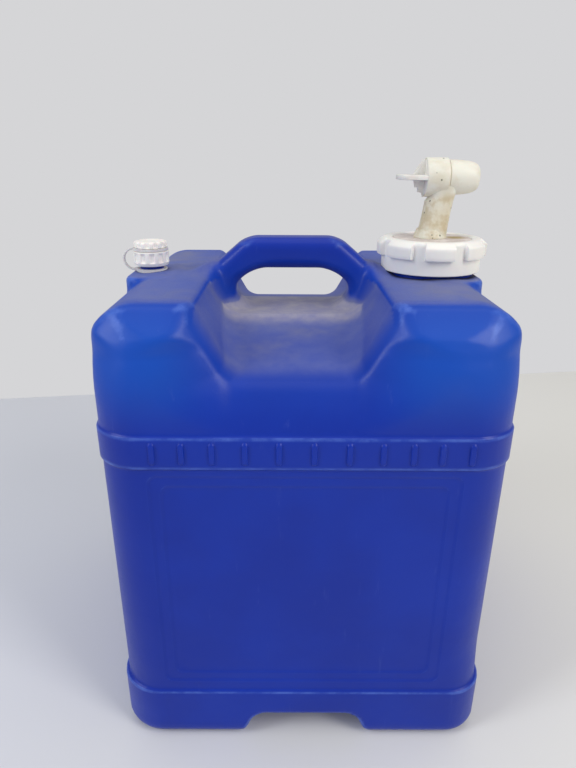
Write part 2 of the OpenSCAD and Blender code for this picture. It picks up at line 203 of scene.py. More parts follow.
def thread_bump(angles, height, start, pitch, low, high):
    """Right-handed thread: a bump where the cosine of turns of height less turns of angle is high.

    It fades in above low and out below high, and is 1 along the crest.
    """
    turn = (height - start) / pitch - angles / (2 * math.pi)
    crest = np.clip((np.cos(2 * math.pi * turn) - 0.45) / 0.45, 0, 1)
    return crest * smooth(height, low, low + pitch / 3) * (1 - smooth(height, high - pitch / 3, high))


def swept_tube(path, across, up, half_width, half_height, corners=12, power=3.0):
    """Tube whose section is a superellipse of half_width by half_height, set square to a path.

    across and up are the section's two directions at each path point. Each end is drawn in to a point.
    """
    sx, sy = superellipse(np.linspace(0, 2 * math.pi, corners, endpoint=False), power)
    rings = path[:, None] + across[:, None] * (sx * half_width)[:, None]
    rings = rings + up[:, None] * (sy * half_height)[:, None]
    ends = [np.repeat(path[place, None], corners, 1) for place in (slice(0, 1), slice(-1, None))]
    rings = np.concatenate([ends[0], rings, ends[1]])
    return rings.reshape(-1, 3), grid_faces(len(rings), corners, wrap_columns=True)


def join(parts):
    """Joins several points and faces pairs into one pair."""
    points, faces, first = [], [], 0
    for p, f in parts:
        points.append(p)
        faces.append(f + first)
        first += len(p)
    return np.concatenate(points), np.concatenate(faces)


# ---------- tank surface ----------

def both(a, b, r):
    """Distance to where shapes a and b overlap, with the edge between them rounded to r."""
    return np.minimum(np.maximum(a, b), -r) + np.hypot(np.maximum(a + r, 0), np.maximum(b + r, 0))


def either(a, b, r):
    """Distance to shapes a and b together, with a fillet of r where they meet."""
    return -both(-a, -b, r)


def rounded_box(x, y, half_x, half_y, r):
    """Distance to a rectangle about the origin with corners of radius r."""
    qx, qy = np.abs(x) - half_x + r, np.abs(y) - half_y + r
    return np.hypot(np.maximum(qx, 0), np.maximum(qy, 0)) + np.minimum(np.maximum(qx, qy), 0) - r


def slab(z, low, high, blend=0.9):
    """1 between low and high, with soft ends."""
    return smooth(z, low - blend, low + blend) * (1 - smooth(z, high - blend, high + blend))


def slanted(u, w, normal_u, normal_w):
    """Distance to a slanted plane, from u and w off a point on it and the two parts of its normal."""
    return (normal_u * u + normal_w * w) / math.hypot(normal_u, normal_w)


def trough_air(gx, ay, z):
    """Distance to the air of the hand troughs, about the grip's middle.

    The floor falls in three planes from the saddle to the lip. Each side wall leans out from the
    floor to the shoulders, and opens through a turned facet to the front slope and the front wall.
    """
    top_z, saddle_y, saddle_z, lip_y, lip_z = 325, 31, 323.8, 118, 308
    wall_x, flare_x, flare_z = 42, 66, 346
    saddle = slanted(saddle_y - ay, saddle_z - z, 0.182, 1) + 2 * smooth(saddle_y + 3 - ay, 0, 6)
    floor = np.minimum(top_z - z, saddle)
    floor = either(floor, slanted(lip_y - ay, lip_z - z, 0.636, 1), 9)
    wall = np.minimum(slanted(gx - wall_x, z - lip_z, 1, -0.5333), gx - wall_x)
    flare = 0.6064 * (gx - flare_x) - 0.6735 * (ay - lip_y) - 0.4226 * (z - flare_z)
    return both(either(wall, flare, 7), floor, 10)


def handle_solid(gx, ay, z):
    """Distance to the handle: its outline less the finger opening, as deep as the bar, with soft edges."""
    half_width, half_depth, foot_z, opening_top = 70, 14.5, 305, 357
    legs = slanted(gx - half_width, z - SHOULDER_Z, 28, 33)
    outside = both(both(gx - half_width, legs, 8), z - GRIP_TOP_Z, 6)
    lower = slanted(gx - 39, z - 325, 17, -9)
    upper = slanted(gx - 48, z - 342, 15, 16)
    opening = both(both(lower, upper, 7), z - opening_top, 8)
    outline = both(outside, -opening, 4)
    return both(both(outline, ay - half_depth, 9), foot_z - z, 2)


def front_slope(ay, z):
    """Distance to the 45 degree slope at the front and rear of the shoulders."""
    depth_and_height = 469
    return (ay + z - depth_and_height) / math.sqrt(2)


def corner_slope(ax, ay, z):
    """Distance to the slanted plane that softens each upper corner, from its normal and its reach."""
    normal, reach = (0.41, 0.765, 0.5), 317
    return normal[0] * ax + normal[1] * ay + normal[2] * z - reach


def tank_field(x, y, z):
    """Distance to the moulded tank, negative inside, in millimetres.

    A rounded box with side shoulders and a 45 degree front and rear slope stands out at the belt and
    the skirt and steps in at the panels. Its right corners are a little sharper at the foot. A slanted
    plane softens each upper corner. The neck pads join it, the troughs and the base channel leave it,
    the handle bridges the troughs, and a round well stands under each neck.
    """
    ax, ay, gx = np.abs(x), np.abs(y), np.abs(x - GRIP_X)
    belt, skirt = slab(z, BELT_LOW, BELT_HIGH), slab(z, -40, SKIRT_TOP)
    corner = CORNER_R - 5 * (x > 0) * smooth(90 - z, 0, 40)
    plan = rounded_box(x, y, HALF_WIDTH + 1.4 * skirt, HALF_DEPTH, corner) - BAND_RELIEF * (belt + skirt)
    for half, low, high in PANEL_STEPS:
        edge = rounded_box(x, z - (low + high) / 2, half, (high - low) / 2, 6)
        plan = plan + 0.8 * (1 - smooth(edge, -1.0, 1.0))
    sides = both(ax - HALF_WIDTH - BAND_RELIEF * belt - 3.0 * skirt, z - SHOULDER_Z, SHOULDER_R)
    body = both(plan, sides, 5)
    body = both(body, corner_slope(ax, ay, z), 3 + 16 * smooth(342 - z, 0, 22))
    body = both(body, front_slope(ay, z), 3.5 + 8 * smooth(344 - z, 0, 14))
    body = both(body, -z, BASE_R)
    pads = np.minimum(*(rounded_box(x - middle, y, *sizes) for middle, *sizes in NECK_PADS))
    body = either(body, both(both(pads, z - SHOULDER_Z, 4), 322 - z, 2), 4)
    lip = smooth(ay, 104, 132) * smooth(338 - z, 0, 16)
    body = both(body, -trough_air(gx, ay, z), 4 + 20 * lip)
    channel_x, channel_half, channel_top = 3, 51, 25
    channel = both(slanted(np.abs(x - channel_x) - channel_half, z + 1, 26, 11), z - channel_top, 8)
    body = both(body, -channel, 3)
    body = either(body, handle_solid(gx, ay, z), 9 + 15 * smooth(gx, 50, 66))
    for centre, radius, foot in WELLS:
        well = np.maximum(np.hypot(x - centre, y) - radius, foot - z)
        body = np.maximum(body, -well)
    return body


def field_slope(field, p, step):
    """Central differences of the field along x, y and z at points p."""
    slopes = []
    for axis in range(3):
        d = np.zeros(3)
        d[axis] = step
        slopes.append((field(*(p + d).T) - field(*(p - d).T)) / (2 * step))
    return np.stack(slopes, -1)


def surface_net(field, xs, ys, zs):
    """Closed quad surface where the field is zero, on a grid with its own spacing each way.

    Every cell that the surface crosses gets one point, the mean of its edge crossings, which is then
    moved along the field's slope onto the surface. Every crossed edge gives the quad of its four cells.
    """
    lines = (np.asarray(xs, float), np.asarray(ys, float), np.asarray(zs, float))
    values = field(*np.meshgrid(*lines, indexing="ij"))
    inside = values < 0
    cells = tuple(n - 1 for n in values.shape)
    total = np.zeros((*cells, 3)).reshape(-1, 3)
    count = np.zeros(total.shape[0])
    quads = []
    for axis in range(3):
        low = tuple(slice(0, -1) if i == axis else slice(1, -1) for i in range(3))
        high = tuple(slice(1, None) if i == axis else slice(1, -1) for i in range(3))
        crossed = inside[low] != inside[high]
        index = np.argwhere(crossed) + [0 if i == axis else 1 for i in range(3)]
        ahead = index.copy()
        ahead[:, axis] += 1
        a, b = values[tuple(index.T)], values[tuple(ahead.T)]
        place = np.stack([lines[i][index[:, i]] for i in range(3)], -1)
        place[:, axis] += a / (a - b) * (lines[axis][ahead[:, axis]] - lines[axis][index[:, axis]])
        u, v = [i for i in range(3) if i != axis]
        around = []
        for du, dv in ((1, 1), (0, 1), (0, 0), (1, 0)):
            cell = index.copy()
            cell[:, u] -= du
            cell[:, v] -= dv
            around.append(np.ravel_multi_index(cell.T, cells))
        around = np.stack(around, -1)
        for k in range(4):
            for i in range(3):
                total[:, i] += np.bincount(around[:, k], place[:, i], len(total))
            count += np.bincount(around[:, k], minlength=len(total))
        turned = (a < 0) != (axis == 1)
        quads.append(np.where(turned[:, None], around, around[:, ::-1]))
    used = count > 0
    number = np.cumsum(used) - 1
    points = total[used] / count[used, None]
    for _ in range(3):
        slope = field_slope(field, points, 0.15)
        move = field(*points.T)[:, None] * slope / np.maximum((slope ** 2).sum(1, keepdims=True), 0.2)
        points -= np.clip(move, -1.0, 1.0)
    return points, number[np.concatenate(quads)]


def grid_lines(start, *runs):
    """Grid lines from start on, in runs of (end, spacing) that follow each other."""
    parts = []
    for end, spacing in runs:
        count = max(2, round((end - start) / spacing) + 1)
        parts.append(np.linspace(start, end, count)[:-1])
        start = end
    return np.append(np.concatenate(parts), start)


def finish_values(points):
    """How dusty the tank is at each point, and where its finish paints highlight, side light and shade.

    Dust lies where the surface faces up, and thickest on the saddle. The edge value is the sum of the
    field at six places one reach away, over the reach, so it is high along outward edges, where it
    paints pale highlight, with edges worn pale. More painted highlight is added along the corner
    creases and the belt's top. Painted side light is strongest on the shoulders away from the handle,
    and painted shade lies about the closures' feet.
    """
    reach = 2.2
    slope = field_slope(tank_field, points, 0.5)
    up = slope[:, 2] / np.linalg.norm(slope, axis=1)
    around = sum(tank_field(*(points + d).T) for d in reach * np.vstack([np.eye(3), -np.eye(3)]))
    x, y, z = np.abs(points[:, 0] - GRIP_X), np.abs(points[:, 1]), points[:, 2]
    # Painted highlight along the creases between the corner slopes and the front and rear slopes.
    crease_highlight = np.exp(-((corner_slope(np.abs(points[:, 0]), y, z) - front_slope(y, z)) / 1.1) ** 2)
    # Painted highlight along outward edges, with edges worn pale, and a painted highlight line along the
    # belt's top.
    highlight_and_wear = around / reach * (1 - 0.8 * slab(z, 300, 337, 4)) + 0.25 * slab(z, 271.7, 272.6, 0.3)
    highlight_and_wear = np.clip(highlight_and_wear + 0.7 * crease_highlight * slab(z, 333, 349, 3), -1, 1)
    level = smooth(up, 0.76, 0.97) * smooth(z, 280, 300) * (0.55 + 0.35 * smooth(x, 74, 104))
    in_trough = smooth(up, 0.15, 0.7) * (x < 64) * (z < 350) * (z > 300)
    # Near the saddle's middle the dust runs above 1, which the finish draws as thicker dust and as painted
    # light where the handle shades the saddle.
    outwards = 1.15 - 0.55 * smooth(y, 24, 90)
    dust = np.where(in_trough > 0, in_trough * outwards * (1 - smooth(y, 106, 122)),
                    level * (1 - smooth(y, 96, 113)) * (1 - smooth(z, 364, 371)))
    # Painted side light: the upper shoulders grow lighter, most away from the handle.
    sidelit = slab(z, 293, 360, 25) * (0.35 + 0.65 * smooth(x, 48, 88))
    # Painted shade in the gap under the ring and round the vent cap's foot.
    near_cap = np.minimum(np.hypot(points[:, 0] - FILL_X, y) - 40, np.hypot(points[:, 0] - VENT_X, y) - 14)
    grime_and_gap_shade = (1 - smooth(near_cap, -3, 1)) * slab(z, 340, 362, 4)
    return {"dust": dust, "highlight_and_wear": highlight_and_wear, "sidelit": sidelit, "grime_and_gap_shade": grime_and_gap_shade}


def build_tank(settings, material):
    """Moulded tank: the surface where the tank's field is zero, with the values its finish reads.

    The grid lines lie close at the edges of the panels, the belt and the skirt, and far apart on the
    plain walls between them.
    """
    fine = settings.surface_step * 1.0
    xs = grid_lines(-149, (-107, fine), (-103, 1.0), (-99, fine), (-95, 1.0), (95, fine), (99, 1.0),
                    (103, fine), (107, 1.0), (149, fine))
    ys = grid_lines(-146, (146, fine))
    zs = grid_lines(-4, (12, 2.0), (34, 3.2), (48, 5), (52, 1.0), (58, 3), (62, 1.0), (66, 2), (70, 1.0),
                    (232, 6), (236, 1.0), (240, 2), (244, 1.0), (246.5, 2.5), (249.5, 0.75), (270.5, 5),
                    (273.5, 0.75), (285, 3.5), (385, fine * 0.9))
    points, faces = surface_net(tank_field, xs, ys, zs)
    piece = make_piece("tank_moulding", points, faces, material, "tank",
                       ["tank_shell"], sharp=60, weld=False)
    for label, value in finish_values(points).items():
        attribute = piece.data.attributes.new(label, "FLOAT", "POINT")
        attribute.data.foreach_set("value", value.astype(np.float32))
    return piece


def build_ribs(settings, material):
    """Grip ribs: domes on rounded oblong feet, half sunk in the belt, on the front and the rear.

    Each keeps its full 1.2 over the inner three quarters and then falls steeply, and the back is flat.
    """
    corners, half_height, belt_y, middle_z = 28, 9.2, 141.6, 260.0
    shares = np.array([0.0, 0.5, 0.72, 0.8, 0.88, 1.0])
    proud = np.array([1.2, 1.2, 1.12, 0.85, 0.1, -0.6])
    places = np.array([-100.6, -81.4, -61.5, -39.8, -17.5, 5.6, 28.7, 50.6, 70.4, 89.2, 108.7])
    angle = np.linspace(0, 2 * math.pi, corners, endpoint=False)
    half_width = settings.rib_width / 2
    px = half_width * np.cos(angle)
    pz = half_width * np.sin(angle) + np.sign(np.sin(angle)) * (half_height - half_width)
    rings = (len(shares), corners)
    out = shares[:, None]
    front = np.stack([out * px, np.broadcast_to(-proud[:, None], rings), out * pz], -1)
    back = np.stack([out[::-1] * px, np.full(rings, proud[0]), out[::-1] * pz], -1)
    rib = np.concatenate([front, back]).reshape(-1, 3)
    faces = grid_faces(2 * len(shares), corners, wrap_columns=True)
    points, faces = join([(rib * [1, side, 1] + [x, -side * belt_y, middle_z], faces)
                          for side in (1, -1) for x in places[:settings.rib_count]])
    return make_piece("belt_ribs", points, faces, material, "tank", ["tank_shell"],
                      sharp=35)


def build_neck(name, centre, material, outer, root, inner, lip, crest, pitch, segments):
    """Threaded neck: a round wall whose outside steps in to root and swells along a right-handed helix.

    outer, root and inner are radii, lip is the height of the top, and crest is the thread's depth.
    """
    foot, step = SHOULDER_Z - 4.0, SHOULDER_Z + 2.6
    angles = np.linspace(0, 2 * math.pi, segments, endpoint=False)
    z_out = np.linspace(foot, lip - 0.8, 56)
    bump = thread_bump(angles[:, None], z_out[None, :], 360.0, pitch, step, lip - 1.6)
    wall = outer + (root - outer) * smooth(z_out, step, step + 1.0)
    edge = [root - 0.3, root - 0.8, inner + 0.8, inner + 0.3, inner, inner]
    r = np.concatenate([wall + crest * bump, np.broadcast_to(edge, (segments, len(edge)))], 1)
    z = np.concatenate([z_out, [lip - 0.25, lip, lip, lip - 0.25, lip - 0.9, foot]])
    points, faces = lathe(r, z, angles, (centre, 0))
    return make_piece(name, points, faces, material, "tank", ["tank_shell"], sharp=50)


# ---------- fill closure ----------

def build_ring(settings, material):
    """Screw ring: an outline turned about the neck, let out by each lug's flanks, threaded inside."""
    first_lug, lug_half, lug_flank, lug_depth = -93.0, 14.9, 16.3, 4
    bore, thread_depth = 37, 1.7
    angles = np.linspace(0, 2 * math.pi, 720, endpoint=False)
    lugs = np.zeros_like(angles)
    for i in range(settings.lug_count):
        middle = math.radians(first_lug + 360 / settings.lug_count * i)
        away = np.abs((angles - middle + math.pi) % (2 * math.pi) - math.pi)
        lugs = np.maximum(lugs, 1 - smooth(np.degrees(away), lug_half, lug_flank))
    # Columns: radius, height, and the share of the lug's depth that is added there.
    outline = np.array([
        [37.5, 356, 0], [38.5, 356, 0], [39, 356.5, 0], [39, 360, 0], [39, 364, 0], [39, 367.6, 0],
        [39, 368.0, 0.8], [39, 368.1, 0.93], [39, 368.7, 1], [39, 371, 1], [39, 374.5, 1], [39, 376.7, 1],
        [39, 377.3, 0.93], [38.9, 378.6, 0.6], [38.6, 379.7, 0.34], [38, 380.4, 0.24], [37, 380.9, 0.1],
        [36, 381, 0], [33, 380.9, 0], [31.6, 380.6, 0], [31, 380.0, 0], [31, 378.1, 0], [bore, 378.1, 0]])
    inner_z = np.linspace(376, 356.6, 60)
    bump = thread_bump(angles[:, None], inner_z[None, :], 363.0, THREAD_PITCH, 358.2, 372.5)
    outside = outline[:, 0] + lug_depth * outline[:, 2] * lugs[:, None]
    r = np.concatenate([outside, bore - thread_depth * bump], 1)
    z = np.concatenate([outline[:, 1], inner_z])
    points, faces = lathe(r, z, angles, (FILL_X, 0))
    return make_piece("screw_ring_moulding", points, faces, material, "ring",
                      ["screw_ring"], sharp=32)


def barrel_lathe(outline, segments):
    """Surface of revolution about the barrel's level axis, from an outline of (place along X, radius)."""
    angles = np.linspace(0, 2 * math.pi, segments, endpoint=False)
    turned, faces = lathe(outline[:, 1], outline[:, 0], angles, (0, 0))
    return np.stack([turned[:, 2], turned[:, 0], turned[:, 1] + BARREL_Z], -1), faces


def tap_barrel():
    """Barrel and spout: one turned outline, from the lip round the knob's collar to the outlet."""
    back, tip, groove = BARREL_BACK_X, BARREL_X + 26.1, BARREL_X + 2.2
    outlet_end = BARREL_X + 12.6
    return barrel_lathe(np.array([
        [back, 10.4], [back, 13.4], [back - 1.9, 13.4], [back - 2.1, 13.6], [back - 2.0, 14.1],
        [back - 1.3, 14.4], [back + 6, 14.4], [groove - 0.7, 14.4], [groove - 0.2, 14.2], [groove, 13.8],
        [groove, 12.3], [groove + 0.8, 12.3], [groove + 0.8, 12.6], [groove + 1.1, 12.9],
        [groove + 6, 12.82], [back + 26, 12.6], [tip - 8, 12.1], [tip - 5, 11.5], [tip - 2.6, 10.7],
        [tip - 1.0, 9.8], [tip - 0.1, 9.0], [tip, 8.4], [tip - 0.3, 8.0], [outlet_end, 8.0],
        [outlet_end, 10.4]]), 96)


def tap_stem(around):
    """Leaning stem: a superellipse carried up a slanted line, narrowest at its waist, closed at its ends.

    Its left side steps in near the top, where the knob's collar turns.
    """
    rows, foot, top, lean = 30, 381.6, 420.0, math.radians(7.6)
    heights = np.linspace(foot, top, rows)
    share = (heights - foot) / (top - foot)
    middle = TAP_X + 0.7 + (heights - DISC_TOP_Z) * math.tan(lean)
    spread = 11.4 - 0.8 * np.sin(math.pi * share) + 0.9 * smooth(share, 0.75, 1.0)
    cx, cy = superellipse(around, 2.5)
    step_in = 1.7 * np.where(cx < 0, 1.0, 0.0)[None, :] * smooth(heights, 408, 411)[:, None]
    stem = np.stack([middle[:, None] + spread[:, None] * cx + step_in, spread[:, None] * cy * 0.97,
                     np.broadcast_to(heights[:, None], step_in.shape)], -1)
    ends = [np.broadcast_to(stem[k].mean(0), (1, len(around), 3)) for k in (0, -1)]
    stem = np.concatenate([ends[0], stem, ends[1]])
    return stem.reshape(-1, 3), grid_faces(rows + 2, len(around), wrap_columns=True)


def tap_foot(around):
    """Round foot: an outline of (radius, height) that tapers up to the stem, turned about the stem."""
    foot = np.array([[0, 381.65], [12.45, 381.65], [12.45, 380.5], [12.9, 380.5], [13, 380.9],
                     [12.8, 382.0], [12.3, 383.6], [11.6, 385.4], [10.8, 387.4], [0, 387.4]])
    return lathe(foot[:, 0], foot[:, 1], around, (TAP_X, 0))


def tap_tail(around):
    """Tail: a tube that runs down through the disc, its outside swelling along a 2 mm thread."""
    low, high, radius, bore = 363.7, 381.8, 8, 5.8
    tail_z = np.linspace(low, high, 50)
    bump = thread_bump(around[:, None], tail_z[None, :], 364.0, 2.0, 364.2, 373.0)
    closing = np.broadcast_to([bore + 0.4, bore, bore], (len(around), 3))
    r = np.concatenate([radius - 0.35 * bump, closing], 1)
    return lathe(r, np.concatenate([tail_z, [high, high - 0.4, low]]), around, (TAP_X, 0))


def build_tap_body(material):
    """Tap body: the barrel and spout on a leaning stem and a round foot, with the tail below."""
    around = np.linspace(0, 2 * math.pi, 64, endpoint=False)
    points, faces = join([tap_barrel(), tap_stem(around), tap_foot(around), tap_tail(around)])
    return make_piece("tap_moulding", points, faces, material, "tap_insert",
                      ["tap_body"], sharp=35)


def pillow(outline, half, edge=0.5, centre=None):
    """Plate with the closed outline (n, 2) and half thickness, whose rim is rounded by edge.

    Its rows are the outline drawn in towards the centre. The first and the last lie on the centre.
    """
    outline = np.asarray(outline, float)
    centre = outline.mean(0) if centre is None else np.asarray(centre, float)
    inward = centre - outline
    inward /= np.linalg.norm(inward, axis=1, keepdims=True)
    rows = [(None, half), (edge, half), (edge * 0.3, half - edge * 0.3), (0, half - edge)]
    rows += [(d, -h) for d, h in reversed(rows)]
    grid = []
    for d, h in rows:
        ring = np.broadcast_to(centre, outline.shape) if d is None else outline + inward * d
        grid.append(np.column_stack([ring, np.full(len(ring), h)]))
    return np.stack(grid).reshape(-1, 3), grid_faces(len(rows), len(outline), wrap_columns=True)


def knob_blade(length, face_x):
    """Level blade: a rectangle with two round corners at its free end, as a rim-rounded plate."""
    half_width, r, half_thickness = 14.0, 7.0, 1.8
    a = np.linspace(-math.pi / 2, math.pi / 2, 14)
    side = np.sign(a + 1e-9)
    end = np.column_stack([r - length - r * np.cos(a), (half_width - r) * side + r * np.sin(a)])
    outline = np.vstack([[[0.0, -half_width]], end, [[0.0, half_width]]])
    blade, faces = pillow(outline, half_thickness, 0.7)
    return blade + [face_x, 0, BARREL_Z], faces


def knob_webs(face_x):
    """Upright webs below and above the blade: stepped outlines of (X, Z) as rim-rounded plates."""
    lower = [[0.8, 0], [-8.9, 0], [-8.5, -1.4], [-7.6, -4.6], [-7.0, -7.4], [-4.9, -7.6], [-4.6, -10.9],
             [-1.0, -11.6], [-0.6, -14.5], [0, -14.5], [0.8, -12]]
    upper = [[0.8, 0], [0.8, 12], [0, 13.1], [-1.9, 13.1], [-9, 2.4], [-9.2, 0]]
    webs = []
    for outline, middle in ((lower, (-2.4, -4.6)), (upper, (-2.4, 4.4))):
        web, faces = pillow(outline, 1.3, 0.35, middle)
        webs.append((np.column_stack([web[:, 0] + face_x, web[:, 2], web[:, 1] + BARREL_Z]), faces))
    return webs


def build_knob(settings, material):
    """Knob: a thin level blade, an upright stepped web, and a collar on a round key."""
    end_x = BARREL_BACK_X - 0.1
    face_x = end_x - 2
    hub = barrel_lathe(np.array([
        [face_x, 0], [face_x, 12.6], [face_x + 0.2, 13.05], [face_x + 0.7, 13.2], [end_x, 13.2],
        [end_x, 4], [end_x + 4.6, 4], [end_x + 5, 3.6], [end_x + 5, 0]]), 72)
    points, faces = join([knob_blade(settings.blade_length, face_x), *knob_webs(face_x), hub])
    return make_piece("tap_knob", points, faces, material, "knob", ["valve_knob"],
                      sharp=35)


# ---------- vent ----------

def build_vent_cap(settings, material):
    """Vent cap: a turned outline scalloped below, bumped round its crown, threaded inside."""
    scallop_depth, bump_depth, bore, thread_depth = 1.1, 1.0, 10.5, 0.6
    angles = np.linspace(0, 2 * math.pi, 432, endpoint=False)
    ripple = 0.5 - 0.5 * np.cos(angles * settings.scallop_count)
    teeth = smooth(ripple, 0.25, 0.7)
    # Columns: radius, height, share of the scallops' depth, share of the crown bumps' depth.
    outline = np.array([
        [11.0, 358, 0, 0], [13.2, 358, 0, 0], [13.6, 358.4, 0, 0], [13.8, 359.8, 0, 0], [14.2, 360.4, 0, 0],
        [14.2, 361, 0.6, 0], [14.2, 362, 1, 0], [14.2, 365, 1, 0], [14.2, 367, 1, 0], [14.2, 367.8, 0.5, 0],
        [14.2, 368.4, 0, 0], [14.1, 369.0, 0, 0], [13.0, 369.5, 0, 0], [12.0, 369.75, 0, 0],
        [12.0, 371.65, 0, 0], [12.6, 372.0, 0, 0], [13.0, 372.3, 0, 0.3], [13.1, 373, 0, 1],
        [13.1, 375, 0, 1], [12.9, 376, 0, 0.8], [12.2, 376.7, 0, 0.35], [11.2, 377, 0, 0.1],
        [9, 377, 0, 0], [7.5, 376.6, 0, 0], [0, 376.5, 0, 0], [0, 372.45, 0, 0], [bore, 372.45, 0, 0]])
    inner_z = np.linspace(371.9, 358.2, 44)
    bump = thread_bump(angles[:, None], inner_z[None, :], 361.5, VENT_PITCH, 359, 369.5)
    outside = outline[:, 0] - scallop_depth * outline[:, 2] * teeth[:, None]
    outside = outside - bump_depth * outline[:, 3] * (1 - teeth)[:, None]
    r = np.concatenate([outside, bore - thread_depth * bump], 1)
    z = np.concatenate([outline[:, 1], inner_z])
    points, faces = lathe(r, z, angles, (VENT_X, 0))
    return make_piece("vent_cap_moulding", points, faces, material, "vent",
                      ["vent_cap"], sharp=38)


def build_strap(material):
    """Tether strap: a flat tube along a half circle from the neck ring out and up to the collar."""
    low, high, count = 354.2, 370.7, 40
    root_x = VENT_X - 12.0
    arc_x = root_x - 1.95
    r = (high - low) / 2
    turn = np.linspace(-math.pi / 2, math.pi / 2, count)
    arc = np.column_stack([arc_x - r * np.cos(turn), np.zeros(count), low + r + r * np.sin(turn)])
    path = np.vstack([[[root_x + 1.4, 0, low]], arc, [[root_x + 1.6, 0, high]]])
    tangent = np.gradient(path, axis=0)
    tangent /= np.linalg.norm(tangent, axis=1, keepdims=True)
    across = np.tile([0.0, 1.0, 0.0], (len(path), 1))
    points, faces = swept_tube(path, across, np.cross(across, tangent), 1.6, 0.8)
    piece = make_piece("tether_loop", points, faces, material, None,
                       ["tether_strap"], sharp=60)
    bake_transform(piece)
    return piece


# ---------- finishes ----------

def blue_polyethylene(settings):
    """Blow-moulded polyethylene: deep satin blue, dusty on top, with painted side light on the shoulders,
    painted highlight along edges worn pale, and painted shade about the closures.
    """
    material, tree, shader = begin_material("blow_moulded_polyethylene_blue",
                                            **{"IOR": 1.51, "Specular IOR Level": 0.26})
    place = add_node(tree, "ShaderNodeTexCoord", output="Object")
    # Three of these values paint light and shade: one paints highlight along edges, with edges worn pale,
    # one paints side light on the shoulders, and one paints shade about the closures' feet.
    dust, highlight_and_wear, sidelit, gap_shade = (
        add_node(tree, "ShaderNodeAttribute", output="Fac", attribute_name=name)
        for name in ("dust", "highlight_and_wear", "sidelit", "grime_and_gap_shade"))
    cloud, grime_and_gap_shade, fine, ripple = (
        add_node(tree, "ShaderNodeTexNoise",
                 {"Vector": place, "Scale": per_mm(size), "Detail": detail, "Roughness": rough}, "Fac")
        for size, detail, rough in ((90, 3, 0.5), (14, 5, 0.65), (1.6, 3, 0.6), (26, 2, 0.5)))
    # Rubbing runs up and down the walls, so its pattern is drawn out eight times along Z.
    upright = add_node(tree, "ShaderNodeMapping", {"Vector": place, "Scale": (1.0, 1.0, 0.12)}, 0)
    rub = add_node(tree, "ShaderNodeTexNoise",
                   {"Vector": upright, "Scale": per_mm(7), "Detail": 4, "Roughness": 0.7}, "Fac")
    clouds = add_node(tree, "ShaderNodeMapRange", {0: cloud, 1: 0.35, 2: 0.65}, 0, **SOFT)
    # Painted highlight along outward edges and creases, with edges worn pale, broken up by the blotch noise.
    highlight_and_wear_mask = add_node(tree, "ShaderNodeMapRange", {0: highlight_and_wear, 1: 0.25, 2: 0.75}, 0, **SOFT)
    patchy = add_node(tree, "ShaderNodeMapRange", {0: grime_and_gap_shade, 1: 0.3, 2: 0.7, 3: 0.08, 4: 0.4}, 0, **SOFT)
    patchy_highlight_and_wear = add_node(tree, "ShaderNodeMath", {0: highlight_and_wear_mask, 1: patchy}, 0, **PRODUCT)
    rubbed = add_node(tree, "ShaderNodeMapRange", {0: rub, 1: 0.62, 2: 0.78, 4: 0.12}, 0, **SOFT)
    uneven = add_node(tree, "ShaderNodeMapRange", {0: grime_and_gap_shade, 1: 0.2, 2: 0.8, 3: 0.5, 4: 0.85}, 0, **SOFT)
    film = add_node(tree, "ShaderNodeMath", {0: dust, 1: uneven}, 0, **PRODUCT)
    drifts = add_node(tree, "ShaderNodeMapRange", {0: cloud, 1: 0.4, 2: 0.6}, 0, **SOFT)
    # Where the dust runs above 1, on the saddle's middle, its colour is lifted: thicker dust, and painted
    # light where the handle shades the saddle.
    thick_dust_and_light = add_node(tree, "ShaderNodeMapRange", {0: dust, 1: 0.95, 2: 1.2}, 0, **SOFT)
    # Painted shade in the gap under the ring and round the vent cap's foot.
    gap_shade_mask = add_node(tree, "ShaderNodeMath", {0: gap_shade, 1: 0.85}, 0, **PRODUCT)
    dust_colour = rgba(settings.dust)
    for mask, tint in ((drifts, linear("7078A8")), (thick_dust_and_light, linear("B0ABB0"))):
        dust_colour = add_node(tree, "ShaderNodeMix", {0: mask, 6: dust_colour, 7: rgba(tint)}, 2, **COLOURS)
    colour = rgba(settings.blue)
    for mask, tint in (
        (clouds, rgba(settings.blue_deep)),
        # painted side light on the upper outer shoulders
        (sidelit, rgba(settings.blue_sidelit)),
        # painted highlight along edges, with edges worn pale
        (patchy_highlight_and_wear, rgba(linear("6E92E8"))),
        (rubbed, rgba(linear("6E80C8"))),
        (film, dust_colour),
        # painted shade about the closures' feet
        (gap_shade_mask, rgba(linear("23222E"))),
    ):
        colour = add_node(tree, "ShaderNodeMix", {0: mask, 6: colour, 7: tint}, 2, **COLOURS)
    tree.links.new(colour, shader.inputs["Base Color"])
    grain = add_node(tree, "ShaderNodeMapRange", {0: fine, 1: 0.2, 2: 0.8, 3: 0.30, 4: 0.38}, 0, **SOFT)
    dulled = add_node(tree, "ShaderNodeMath", {0: film, 1: 0.4}, 0, **PRODUCT)
    rough = add_node(tree, "ShaderNodeMath", {0: grain, 1: dulled}, 0, operation="ADD")
    tree.links.new(rough, shader.inputs["Roughness"])
    waves = add_node(tree, "ShaderNodeBump", {"Height": ripple, "Strength": 0.35, "Distance": 0.0012}, 0)
    bump = add_node(tree, "ShaderNodeBump",
                    {"Height": fine, "Strength": 0.12, "Distance": 0.0002, "Normal": waves}, 0)
    tree.links.new(bump, shader.inputs["Normal"])
    return material


